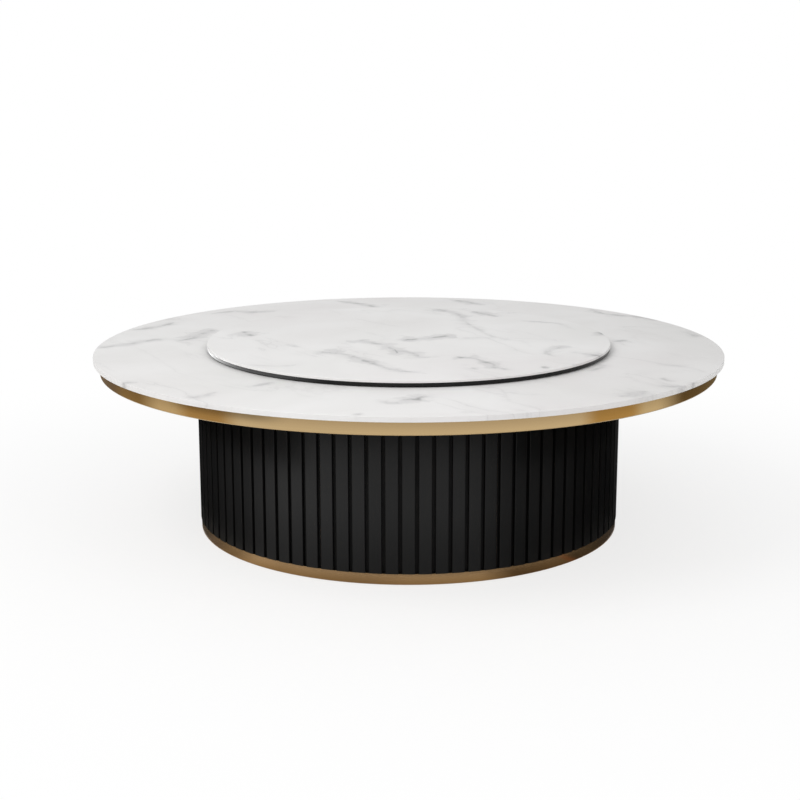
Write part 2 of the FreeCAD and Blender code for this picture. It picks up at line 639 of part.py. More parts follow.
FASCIA_SCREW_CIRCLE = f"({BOARD_RADIUS} - fascia_screw_inset)"
FASCIA_SCREW_COUNT = "(fascia_pieces * fascia_screws_per_arc)"
FASCIA_SCREW_TIP = f"({BOARD_BOTTOM} + wood_screw_bite)"
BEARING_SCREW = "(bearing_screw_diameter / 2)"
BEARING_HOLE = f"({BEARING_SCREW} + screw_clearance)"
BEARING_SINK = "(bearing_screw_head / 2 + screw_clearance)"
INNER_SCREW_CIRCLE = "(bearing_radius - bearing_screw_offset)"
OUTER_SCREW_CIRCLE = "(bearing_radius + bearing_screw_offset)"
BOARD_TURN = f"({STUD_ANGLE} / 2)"
DOWN_SCREW_TIP = f"({STONE_BOTTOM} - wood_screw_bite)"


def make_top_board(label, half_turn):
    """Half of the round plywood board under the stone, with every screw's hole."""
    body = new_body(label)
    revolve(body, box_loop("0", BOARD_RADIUS, BOARD_BOTTOM, STONE_BOTTOM))
    low = f"{BOARD_BOTTOM} - cut_over"
    high = f"{STONE_BOTTOM} + cut_over"
    for circle in ARM_SCREW_CIRCLES:
        turned_drill(body, circle, WOOD_HOLE, low, f"{BOARD_BOTTOM} + wood_screw_bite + cut_over",
                     "panel_count", ARM_TURN)
    turned_drill(body, FASCIA_SCREW_CIRCLE, WOOD_HOLE, low, f"{FASCIA_SCREW_TIP} + cut_over",
                 FASCIA_SCREW_COUNT, f"180 / {FASCIA_SCREW_COUNT}")
    for along, row in strap_screw_rows("top_strap_inner", TOP_STRAP_OUTER):
        drill(body, along, WOOD_HOLE, low, f"{BOARD_BOTTOM} + wood_screw_bite + cut_over", "2", row)
    turned_drill(body, INNER_SCREW_CIRCLE, BEARING_HOLE, f"{DOWN_SCREW_TIP} - cut_over", high,
                 "bearing_screw_count", BOARD_TURN)
    for aside in ("bracket_screw_offset", "-bracket_screw_offset"):
        turned_drill(body, ROLLER_CIRCLE, WOOD_HOLE, f"{DOWN_SCREW_TIP} - cut_over", high, "roller_count",
                     "0", aside)
    keep_half(body, BOARD_RADIUS)
    turn(body, half_turn)


def make_fascia():
    """Arcs under the board's rim, their lower corner cut back inside the rolled edge."""
    body = new_body("fascia_arcs")
    corners = [(FASCIA_INNER, FASCIA_BOTTOM), (f"{BOARD_RADIUS} - band_roll", FASCIA_BOTTOM),
               (BOARD_RADIUS, f"{FASCIA_BOTTOM} + band_roll"), (BOARD_RADIUS, BOARD_BOTTOM),
               (FASCIA_INNER, BOARD_BOTTOM)]
    ring_of_arcs(body, corners, "fascia_pieces")
    first = f"180 / {FASCIA_SCREW_COUNT} - {BOARD_TURN}"
    low = f"{FASCIA_BOTTOM} - cut_over"
    turned_drill(body, FASCIA_SCREW_CIRCLE, WOOD_HOLE, low, f"{BOARD_BOTTOM} + cut_over",
                 FASCIA_SCREW_COUNT, first)
    turned_drill(body, FASCIA_SCREW_CIRCLE, f"({WOOD_SCREW_HEAD} + screw_clearance)", low,
                 f"{FASCIA_BOTTOM} + wood_screw_head_height", FASCIA_SCREW_COUNT, first)
    turn(body, BOARD_TURN)


def make_fascia_screws():
    """Screws up through the fascia into the board."""
    body = new_body("fascia_screws")
    screws(body, FASCIA_SCREW_CIRCLE, WOOD_SCREW_HEAD, WOOD_SCREW, FASCIA_BOTTOM,
           f"{FASCIA_BOTTOM} + wood_screw_head_height", FASCIA_SCREW_TIP, FASCIA_SCREW_COUNT)
    turn(body, f"180 / {FASCIA_SCREW_COUNT}")


def make_edge_band():
    """Brass-finished sheet round the rim, rolled in under the fascia."""
    body = new_body("edge_band")
    flange_top = f"{BAND_BOTTOM} + band_sheet"
    revolve(body, [(f"{BAND_OUTER} - band_return", BAND_BOTTOM), (BAND_OUTER, BAND_BOTTOM),
                   (BAND_OUTER, STONE_BOTTOM), (BAND_INNER, STONE_BOTTOM),
                   (BAND_INNER, flange_top), (f"{BAND_OUTER} - band_return", flange_top)])
    round_edges(body, "band_roll", [(BAND_OUTER, BAND_BOTTOM)])
    round_edges(body, "band_roll - band_sheet", [(BAND_INNER, flange_top)])


def make_stone_top():
    """Stone slabs that make the dining ring."""
    for index in range(int(number("stone_pieces"))):
        body = new_body(f"stone_top_{index + 1}")
        revolve(body, box_loop(WELL_RADIUS, TABLE_RADIUS, STONE_BOTTOM, "table_height"),
                angle="360 / stone_pieces - seam_angle")
        round_edges(body, "stone_round", [(TABLE_RADIUS, "table_height")])
        turn(body, f"360 / stone_pieces * {index}")


# ---------------------------------------------------------------- lazy susan and its bearing

def make_bearing_ring(label, bottom, top, screw_circle, face, sink):
    """One ring of the bearing, with half of the ball track and its countersunk holes."""
    body = new_body(label)
    revolve(body, box_loop("bearing_radius - bearing_ring_width / 2",
                           "bearing_radius + bearing_ring_width / 2", bottom, top))
    track = body.newObject("PartDesign::SubtractiveTorus", "ball_track")
    track.AttachmentSupport = [(origin_feature(body, "XY_Plane"), "")]
    track.MapMode = "FlatFace"
    track.setExpression("AttachmentOffset.Base.z", formula(BALL_LEVEL))
    track.setExpression("Radius1", formula("bearing_radius"))
    track.setExpression("Radius2", formula("ball_diameter / 2 + ball_clearance"))
    body.Tip = track
    drill(body, screw_circle, BEARING_HOLE, f"{bottom} - cut_over", f"{top} + cut_over",
          "bearing_screw_count")
    drill(body, screw_circle, BEARING_SINK, min(face, sink, key=number), max(face, sink, key=number),
          "bearing_screw_count")
    turn(body, BOARD_TURN)


def make_bearing_rings():
    """Fixed lower ring and turning upper ring."""
    make_bearing_ring("bearing_lower_ring", STONE_BOTTOM, LOWER_RING_TOP, INNER_SCREW_CIRCLE,
                      f"({LOWER_RING_TOP} + cut_over)", f"({LOWER_RING_TOP} - bearing_screw_head_height)")
    make_bearing_ring("bearing_upper_ring", UPPER_RING_BOTTOM, TURNTABLE_BOTTOM, OUTER_SCREW_CIRCLE,
                      f"({UPPER_RING_BOTTOM} - cut_over)",
                      f"({UPPER_RING_BOTTOM} + bearing_screw_head_height)")


def make_bearing_screws():
    """Countersunk screws of both rings."""
    lower = new_body("bearing_screws_lower")
    screws(lower, INNER_SCREW_CIRCLE, "bearing_screw_head / 2", BEARING_SCREW,
           f"{LOWER_RING_TOP} - bearing_screw_head_height", LOWER_RING_TOP, DOWN_SCREW_TIP,
           "bearing_screw_count")
    turn(lower, BOARD_TURN)
    upper = new_body("bearing_screws_upper")
    screws(upper, OUTER_SCREW_CIRCLE, "bearing_screw_head / 2", BEARING_SCREW, UPPER_RING_BOTTOM,
           f"{UPPER_RING_BOTTOM} + bearing_screw_head_height",
           f"{TURNTABLE_BOTTOM} + turntable_screw_bite", "bearing_screw_count")
    turn(upper, BOARD_TURN)


def make_ball_cage():
    """Thin ring with a pocket for each ball."""
    body = new_body("ball_cage")
    revolve(body, box_loop("bearing_radius - cage_width / 2", "bearing_radius + cage_width / 2",
                           f"{BALL_LEVEL} - cage_thickness / 2", f"{BALL_LEVEL} + cage_thickness / 2"))
    drill(body, "bearing_radius", "(ball_diameter / 2 + cage_clearance)",
          f"{BALL_LEVEL} - cage_thickness", f"{BALL_LEVEL} + cage_thickness", "ball_count")


def make_balls():
    """Steel balls on the ball circle."""
    body = new_body("bearing_balls")
    ball = body.newObject("PartDesign::AdditiveSphere", "ball")
    ball.AttachmentSupport = [(origin_feature(body, "XY_Plane"), "")]
    ball.MapMode = "FlatFace"
    ball.setExpression("AttachmentOffset.Base.x", formula("bearing_radius"))
    ball.setExpression("AttachmentOffset.Base.z", formula(BALL_LEVEL))
    ball.setExpression("Radius", formula("ball_diameter / 2"))
    body.Tip = ball
    repeat(body, ball, "ball_count")


def make_turntable():
    """Black backing board and the stone disc on it."""
    board = new_body("turntable_board")
    revolve(board, box_loop("0", TURNTABLE_BOARD_RADIUS, TURNTABLE_BOTTOM, TURNTABLE_STONE_BOTTOM))
    turned_drill(board, OUTER_SCREW_CIRCLE, BEARING_HOLE, f"{TURNTABLE_BOTTOM} - cut_over",
                 f"{TURNTABLE_BOTTOM} + turntable_screw_bite + cut_over", "bearing_screw_count", BOARD_TURN)
    stone = new_body("turntable_stone")
    top = f"({TURNTABLE_STONE_BOTTOM} + turntable_stone_thickness)"
    revolve(stone, box_loop("0", TURNTABLE_RADIUS, TURNTABLE_STONE_BOTTOM, top))
    round_edges(stone, "turntable_round", [(TURNTABLE_RADIUS, top)])


# ---------------------------------------------------------------- outer support rollers

EAR_INNER = "(roller_width / 2 + roller_side_gap)"
EAR_OUTER = f"({EAR_INNER} + bracket_sheet)"
ROLLER_ANGLE = "(360 / roller_count)"
AXLE = "(axle_diameter / 2)"


def radial_axis():
    """Axis line of a roller, along X at the axle's level."""
    return ((f"{ROLLER_CIRCLE} - {AXIS_LENGTH}", AXLE_LEVEL), (ROLLER_CIRCLE, AXLE_LEVEL))


def make_roller_brackets():
    """Folded steel brackets: a plate on the board and two ears."""
    body = new_body("roller_brackets")
    half = "bracket_length / 2"
    near = f"{ROLLER_CIRCLE} - {EAR_OUTER}"
    far = f"{ROLLER_CIRCLE} + {EAR_OUTER}"
    plate = [(near, f"-({half})"), (far, f"-({half})"), (far, half), (near, half)]
    repeat(body, pad(body, "XY_Plane", [plate], STONE_BOTTOM, "bracket_sheet"), "roller_count")
    ear_height = f"{AXLE_LEVEL} + {AXLE} + ear_margin - {BRACKET_TOP}"
    for inner, outer in ((f"{ROLLER_CIRCLE} + {EAR_INNER}", far), (near, f"{ROLLER_CIRCLE} - {EAR_INNER}")):
        ear = [(inner, "-ear_width / 2"), (outer, "-ear_width / 2"), (outer, "ear_width / 2"),
               (inner, "ear_width / 2")]
        repeat(body, pad(body, "XY_Plane", [ear], BRACKET_TOP, ear_height), "roller_count")
    bore_wall = f"{AXLE_LEVEL} + {AXLE} + axle_clearance"
    bore = [(f"{near} - cut_over", AXLE_LEVEL), (f"{far} + cut_over", AXLE_LEVEL),
            (f"{far} + cut_over", bore_wall), (f"{near} - cut_over", bore_wall)]
    repeat(body, revolve(body, bore, axis=radial_axis(), cut=True), "roller_count")
    for aside in ("bracket_screw_offset", "-bracket_screw_offset"):
        drill(body, ROLLER_CIRCLE, WOOD_HOLE, f"{STONE_BOTTOM} - cut_over", f"{BRACKET_TOP} + cut_over",
              "roller_count", aside)


def make_roller_screws():
    """Two screws in each bracket."""
    body = new_body("roller_screws")
    for aside in ("bracket_screw_offset", "-bracket_screw_offset"):
        screws(body, ROLLER_CIRCLE, WOOD_SCREW_HEAD, WOOD_SCREW, BRACKET_TOP,
               f"{BRACKET_TOP} + wood_screw_head_height", DOWN_SCREW_TIP, "roller_count", aside)


def make_roller_axles():
    """Axles with a head outside each ear."""
    body = new_body("roller_axles")
    left = f"{ROLLER_CIRCLE} - {EAR_OUTER}"
    right = f"{ROLLER_CIRCLE} + {EAR_OUTER}"
    head = f"{AXLE_LEVEL} + axle_head_diameter / 2"
    shank = f"{AXLE_LEVEL} + {AXLE}"
    outline = [(f"{left} - axle_head_thickness", AXLE_LEVEL), (f"{right} + axle_head_thickness", AXLE_LEVEL),
               (f"{right} + axle_head_thickness", head), (right, head), (right, shank), (left, shank),
               (left, head), (f"{left} - axle_head_thickness", head)]
    repeat(body, revolve(body, outline, axis=radial_axis()), "roller_count")


def make_roller_wheels():
    """One wheel on each axle, with rounded rims."""
    bore = f"{AXLE_LEVEL} + {AXLE} + axle_clearance"
    rim = f"{AXLE_LEVEL} + {ROLLER_RADIUS}"
    left = f"{ROLLER_CIRCLE} - roller_width / 2"
    right = f"{ROLLER_CIRCLE} + roller_width / 2"
    outline = [(left, bore), (right, bore), (right, f"{rim} - roller_round"),
               (f"{right} - roller_round", rim), (f"{left} + roller_round", rim),
               (left, f"{rim} - roller_round")]
    for index in range(int(number("roller_count"))):
        body = new_body(f"roller_wheel_{index + 1}")
        revolve(body, outline, axis=radial_axis())
        turn(body, f"{ROLLER_ANGLE} * {index}")


# ---------------------------------------------------------------- building and writing

def build():
    """Makes every sub-part, from the floor up."""
    fill_sheet()
    make_floor_glides()
    make_base_board("base_board_right", "0")
    make_base_board("base_board_left", "180")
    make_curb()
    make_plinth_trim()
    make_drum_panels()
    make_slats()
    make_studs()
    make_top_ring()
    make_stud_screws()
    make_frame_arms()
    make_hub()
    make_frame_bolts()
    make_frame_nuts()
    make_arm_screws()
    make_top_board("top_board_right", "0")
    make_top_board("top_board_left", "180")
    make_straps()
    make_strap_screws()
    make_fascia()
    make_fascia_screws()
    make_edge_band()
    make_stone_top()
    make_bearing_rings()
    make_bearing_screws()
    make_ball_cage()
    make_balls()
    make_turntable()
    make_roller_brackets()
    make_roller_screws()
    make_roller_axles()
    make_roller_wheels()
    doc.recompute()


def check():
    """Stops unless every object is whole and every cut takes something away."""
    for item in doc.Objects:
        if "Invalid" in item.State or "Error" in item.State:
            raise RuntimeError(f"{item.Name} failed: {item.State}")
    for item in doc.Objects:
        if item.TypeId in ("PartDesign::Groove", "PartDesign::Pocket", "PartDesign::SubtractiveTorus"):
            if item.Shape.Volume > item.BaseFeature.Shape.Volume - LEAST_CUT:
                raise RuntimeError(f"{item.Name} of {item.getParent().Label} cuts nothing")
    for body in subparts:
        if body.Shape.isNull() or not body.Shape.isValid():
            raise RuntimeError(f"{body.Label} has no valid shape")


def write():
    """Writes each sub-part to its own file."""
    os.makedirs("parts", exist_ok=True)
    for body in subparts:
        body.Shape.exportStep(f"parts/{body.Label}.step")
        print(f"{body.Label}: {len(body.Shape.Solids)} solids, {body.Shape.Volume / 1000:.1f} cm3")
    print(f"{len(subparts)} sub-parts")


build()
check()
write()
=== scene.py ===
"""Round dining table with a lazy susan: finishes, floor, light and camera."""

import math

import bpy
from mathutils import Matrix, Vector

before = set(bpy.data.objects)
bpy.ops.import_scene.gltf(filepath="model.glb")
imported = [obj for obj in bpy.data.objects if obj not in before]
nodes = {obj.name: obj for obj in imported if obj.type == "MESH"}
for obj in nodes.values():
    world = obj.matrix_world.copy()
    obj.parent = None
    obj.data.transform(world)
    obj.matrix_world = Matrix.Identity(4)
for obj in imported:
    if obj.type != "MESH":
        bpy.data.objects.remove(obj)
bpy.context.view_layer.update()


# ---------------------------------------------------------------- node helper

MIX_INPUTS = (0, 6, 7)  # a Mix node's factor and its two colours
MIX_RESULT = 2  # its colour result


class Graph:
    """The node tree of one material or world, with a short call for each node it uses."""

    def __init__(self, name, tree=None):
        if tree is None:
            self.material = bpy.data.materials.new(name)
            self.material.use_nodes = True
            tree = self.material.node_tree
        self.tree = tree
        tree.nodes.clear()

    def add(self, kind, **settings):
        node = self.tree.nodes.new("ShaderNode" + kind)
        for key, value in settings.items():
            setattr(node, key, value)
        return node

    def feed(self, socket, value):
        """Link the value if it is a socket, else set it."""
        if isinstance(value, bpy.types.NodeSocket):
            self.tree.links.new(value, socket)
        else:
            if socket.type == "RGBA" and len(value) == 3:
                value = (*value, 1)
            socket.default_value = value

    def coord(self, kind="Object"):
        return self.add("TexCoord").outputs[kind]

    def math(self, operation, *values, clamp=False):
        node = self.add("Math", operation=operation, use_clamp=clamp)
        for socket, value in zip(node.inputs, values):
            self.feed(socket, value)
        return node.outputs[0]

    def vector(self, operation, *values):
        node = self.add("VectorMath", operation=operation)
        for socket, value in zip(node.inputs, values):
            self.feed(socket, value)
        scalar = operation in ("DOT_PRODUCT", "LENGTH")
        return node.outputs["Value" if scalar else "Vector"]

    def scaled(self, vector, x, y, z):
        return self.vector("MULTIPLY", vector, (x, y, z))

    def split(self, vector):
        node = self.add("SeparateXYZ")
        self.feed(node.inputs[0], vector)
        return node.outputs

    def join(self, x=0.0, y=0.0, z=0.0):
        node = self.add("CombineXYZ")
        for socket, value in zip(node.inputs, (x, y, z)):
            self.feed(socket, value)
        return node.outputs[0]

    def noise(self, vector, scale, detail=2.0, rough=0.5, distortion=0.0, out="Fac"):
        node = self.add("TexNoise")
        self.feed(node.inputs["Vector"], vector)
        node.inputs["Scale"].default_value = scale
        node.inputs["Detail"].default_value = detail
        node.inputs["Roughness"].default_value = rough
        node.inputs["Distortion"].default_value = distortion
        return node.outputs[out]

    def cells(self, value):
        node = self.add("TexWhiteNoise", noise_dimensions="1D")
        self.feed(node.inputs["W"], value)
        return node.outputs["Value"]

    def ramp(self, value, low, high, to_low=0.0, to_high=1.0, smooth=False):
        kind = "SMOOTHSTEP" if smooth else "LINEAR"
        node = self.add("MapRange", interpolation_type=kind)
        for socket, item in zip(node.inputs, (value, low, high, to_low, to_high)):
            self.feed(socket, item)
        return node.outputs[0]

    def curve(self, value, points, handle):
        node = self.add("FloatCurve")
        mapping = node.mapping
        mapping.extend = "HORIZONTAL"
        line = mapping.curves[0]
        line.points[0].location = points[0]
        line.points[1].location = points[-1]
        for point in points[1:-1]:
            line.points.new(*point)
        for point in line.points:
            point.handle_type = handle
        mapping.update()
        self.feed(node.inputs["Value"], value)
        return node.outputs[0]

    def mix(self, factor, first, second):
        node = self.add("Mix", data_type="RGBA")
        for index, value in zip(MIX_INPUTS, (factor, first, second)):
            self.feed(node.inputs[index], value)
        return node.outputs[MIX_RESULT]

    def bump(self, height, distance):
        node = self.add("Bump")
        node.inputs["Distance"].default_value = distance
        self.feed(node.inputs["Height"], height)
        return node.outputs[0]

    def from_middle(self, value):
        """How far a value is from one half."""
        return self.math("ABSOLUTE", self.math("SUBTRACT", value, 0.5))

    def flat(self, vector):
        return self.scaled(vector, 1, 1, 0)

    def finish(self, **sockets):
        """The material, closed by a Principled shader. Its sockets are named with _ for a space."""
        shader = self.add("BsdfPrincipled")
        for key, value in sockets.items():
            self.feed(shader.inputs[key.replace("_", " ")], value)
        output = self.add("OutputMaterial")
        self.tree.links.new(shader.outputs[0], output.inputs["Surface"])
        return self.material


# ---------------------------------------------------------------- white stone

REACH = 0.5  # metres across which a vein may wander aside of the line between its ends
TAIL = 0.08  # share of its length by which it runs on beyond either end
ROUNDED = 0.8  # share of its halo by which the round of either end starts before that
CORE_SPREAD = 2.5  # half widths of its core across which that fades out
HALO_SPREAD = 1.9  # widths of its halo across which that fades out

# Each vein: half width of its core and width of its soft halo in metres, and its points as x, y in
# metres and a strength. They follow the photograph's veins, but the ring's fourth is a painted
# shadow:
# a faint grey streak where a cutlery's shadow fell. The ring's last five, at the back, are
# invented.
SUSAN_VEINS = [
    (0.012, 0.050, [(-0.718, 0.193, 0.1), (-0.685, 0.121, 1), (-0.636, 0.05, 0.2)]),
    (0.009, 0.040, [(-0.521, -0.065, 0), (-0.478, -0.154, 0.35), (-0.413, -0.198, 0)]),
    (0.011, 0.045, [(-0.34, -0.284, 0.6), (-0.254, -0.326, 0.45), (-0.199, -0.408, 0.5),
                    (-0.166, -0.469, 0.9), (-0.11, -0.567, 0.35), (-0.052, -0.643, 0.5),
                    (0.005, -0.681, 0.4), (0.05, -0.699, 0.2)]),
    (0.011, 0.045, [(-0.194, -0.042, 1), (-0.139, -0.088, 0.6), (-0.089, -0.132, 0.5),
                    (-0.055, -0.241, 0.35), (-0.015, -0.263, 0.35), (0.025, -0.326, 0.6),
                    (0.049, -0.388, 0.5), (0.104, -0.388, 0.2)]),
    (0.016, 0.060, [(-0.036, -0.008, 0.5), (0.006, -0.008, 1), (0.069, 0.015, 0.8),
                    (0.132, 0.05, 0.9), (0.175, 0.073, 0.8), (0.22, 0.003, 0.3)]),
    (0.004, 0.070, [(0.216, 0.027, 0.3), (0.384, 0.027, 0.2), (0.632, -0.02, 0.1)]),
    (0.011, 0.045, [(0.187, -0.388, 0.6), (0.21, -0.408, 1), (0.241, -0.408, 0.5),
                    (0.278, -0.469, 0.4), (0.314, -0.528, 1), (0.337, -0.605, 0.5),
                    (0.384, -0.643, 0.2)]),
    (0.010, 0.045, [(0.173, 0.719, 0.7), (0.2, 0.691, 0.6), (0.234, 0.58, 0.5),
                    (0.256, 0.446, 0.38), (0.294, 0.267, 0.32), (0.327, 0.145, 0.25),
                    (0.365, 0.05, 0.3), (0.424, -0.02, 0.28), (0.464, -0.042, 0.22),
                    (0.499, -0.132, 0.1)]),
    (0.009, 0.040, [(0.289, 0.719, 0.3), (0.329, 0.663, 0.8), (0.38, 0.58, 0.5),
                    (0.414, 0.553, 0.1)]),
    (0.009, 0.040, [(0.498, 0.446, 0.2), (0.585, 0.42, 0.4), (0.649, 0.394, 0.3),
                    (0.686, 0.318, 0.3), (0.72, 0.218, 0.1)]),
    (0.010, 0.045, [(0.635, -0.165, 0.9), (0.62, -0.2, 0.7), (0.575, -0.25, 0.4),
                    (0.556, -0.326, 0.4), (0.596, -0.408, 0.1)]),
    (0.010, 0.045, [(0.64, -0.284, 0.3), (0.691, -0.326, 0.5), (0.729, -0.347, 0.9),
                    (0.77, -0.36, 0.4)]),
    (0.012, 0.045, [(0.80, 0.17, 0.3), (0.819, 0.145, 0.8), (0.839, 0.097, 0.5)]),
    (0.004, 0.060, [(-0.675, -0.489, 0.1), (-0.532, -0.567, 0.3), (-0.419, -0.528, 0.2)]),
    (0.010, 0.035, [(0.50, -0.586, 0.2), (0.514, -0.586, 0.7), (0.54, -0.586, 0.3)]),
    (0.008, 0.035, [(0.234, -0.605, 0.2), (0.25, -0.62, 0.5), (0.263, -0.643, 0.2)]),
    (0.005, 0.060, [(-0.261, 0.526, 0.05), (-0.15, 0.42, 0.16), (-0.038, 0.292, 0.1)]),
    (0.003, 0.040, [(-0.33, -0.24, 0.9), (-0.29, -0.29, 0.9)]),
    (0.003, 0.038, [(-0.20, -0.40, 0.8), (-0.16, -0.48, 0.9)]),
    (0.003, 0.045, [(-0.09, -0.16, 0.8), (-0.05, -0.24, 1), (-0.04, -0.32, 0.7)]),
]
RING_VEINS = [
    (0.011, 0.050, [(-1.292, -0.056, 0.3), (-1.248, -0.023, 0.6), (-1.192, 0.011, 0.6),
                    (-1.149, 0.057, 0.5), (-1.066, 0.15, 0.35)]),
    (0.010, 0.040, [(-1.09, -0.752, 0.1), (-1.075, -0.752, 0.5), (-1.026, -0.752, 0.4),
                    (-1.0, -0.752, 0.1)]),
    (0.012, 0.050, [(-0.982, 0.103, 0.5), (-0.932, 0.173, 0.7), (-0.91, 0.27, 0.8),
                    (-0.866, 0.369, 0.7)]),
    # Painted shadow: a cutlery's shadow drawn as a faint grey vein.
    (0.011, 0.045, [(-0.77, -1.024, 0.3), (-0.73, -0.975, 0.5), (-0.711, -0.925, 0.4),
                    (-0.686, -0.892, 0.2)]),
    (0.010, 0.045, [(-0.602, -0.823, 0.2), (-0.544, -0.77, 0.4), (-0.50, -0.72, 0.2)]),
    (0.014, 0.050, [(-0.101, -1.089, 0.4), (-0.031, -1.057, 0.5), (0.012, -1.024, 1),
                    (0.03, -1.024, 1), (0.041, -0.992, 0.6), (0.077, -0.975, 0.4)]),
    (0.010, 0.040, [(0.166, -1.228, 0.2), (0.21, -1.235, 0.35), (0.244, -1.243, 0.2)]),
    (0.011, 0.050, [(0.74, -0.99, 0.2), (0.783, -0.975, 0.45), (0.823, -0.942, 0.5),
                    (0.878, -0.892, 0.3)]),
    (0.010, 0.045, [(0.863, 0.08, 0.3), (0.90, 0.10, 0.5), (0.937, 0.126, 0.3)]),
    (0.009, 0.040, [(1.048, -0.752, 0.4), (1.088, -0.735, 0.3)]),
    (0.010, 0.060, [(1.21, 0.344, 0.4), (1.258, 0.197, 0.4)]),
    (0.009, 0.035, [(0.708, -0.531, 0.4), (0.773, -0.414, 0.4)]),
    (0.003, 0.040, [(0.989, -0.414, 0.3), (1.107, -0.414, 0.3)]),
    (0.004, 0.050, [(0.912, -0.788, 0.5), (1.069, -0.84, 0.5)]),
    (0.009, 0.035, [(-0.199, -1.265, 0.2), (-0.18, -1.268, 0.4), (-0.159, -1.268, 0.2)]),
    (0.009, 0.035, [(0.95, -0.662, 0.4), (0.972, -0.717, 0.4)]),
    (0.010, 0.055, [(-0.93, 0.80, 0.15), (-0.83, 0.86, 0.5), (-0.72, 0.85, 0.5),
                    (-0.60, 0.93, 0.15)]),
    (0.010, 0.045, [(-0.35, 1.18, 0.3), (-0.22, 1.08, 0.6), (-0.12, 0.98, 0.4),
                    (0.02, 0.93, 0.2)]),
    (0.011, 0.055, [(0.20, 1.24, 0.2), (0.28, 1.15, 0.6), (0.38, 1.05, 0.2)]),
    (0.010, 0.045, [(0.86, 0.93, 0.2), (0.93, 0.8, 0.5), (1.06, 0.72, 0.6), (1.14, 0.6, 0.2)]),
    (0.010, 0.045, [(-1.22, 0.36, 0.3), (-1.13, 0.45, 0.6), (-1.07, 0.58, 0.3)]),
]


def vein(g, place, width_noise, half, halo, points):
    """Core and halo weights of one vein: how near a place is to its line, times its strength there.
    It runs on a little beyond its end points, fades there and ends round."""
    (x0, y0, _), (x1, y1, _) = points[0], points[-1]
    length = math.hypot(x1 - x0, y1 - y0)
    dx, dy = (x1 - x0) / length, (y1 - y0) / length
    tail = TAIL * length + halo
    reach = length + 2 * tail
    ends = [((x - x0) * dx + (y - y0) * dy + tail) / reach for x, y, _ in points]
    aside = [(y - y0) * dx - (x - x0) * dy for x, y, _ in points]
    u = g.math(
        "SUBTRACT",
        g.vector("DOT_PRODUCT", place, (dx / reach, dy / reach, 0)),
        (x0 * dx + y0 * dy - tail) / reach,
    )
    line = g.curve(u, [(t, 0.5 + a / REACH) for t, a in zip(ends, aside)], "AUTO")
    fade = [(0.0, 0.0), *((t, point[2]) for t, point in zip(ends, points)), (1.0, 0.0)]
    strength = g.curve(u, fade, "AUTO_CLAMPED")
    v = g.vector("DOT_PRODUCT", place, (-dy, dx, 0))
    off = g.math("MULTIPLY_ADD", line, -REACH, v)
    off = g.math("ADD", off, REACH / 2 - (y0 * dx - x0 * dy))
    straight = length / 2 + TAIL * length - min(ROUNDED * halo, length / 3)
    past = g.math("MULTIPLY_ADD", g.from_middle(u), reach, -straight)
    past = g.math("MAXIMUM", past, 0.0)
    off = g.vector("LENGTH", g.join(off, past))
    off = g.math("MULTIPLY", off, width_noise)
    core = g.math("MULTIPLY", g.ramp(off, CORE_SPREAD * half, 0.0, smooth=True), strength)
    soft = g.math("MULTIPLY", g.ramp(off, HALO_SPREAD * halo, 0.0), strength)
    return core, soft


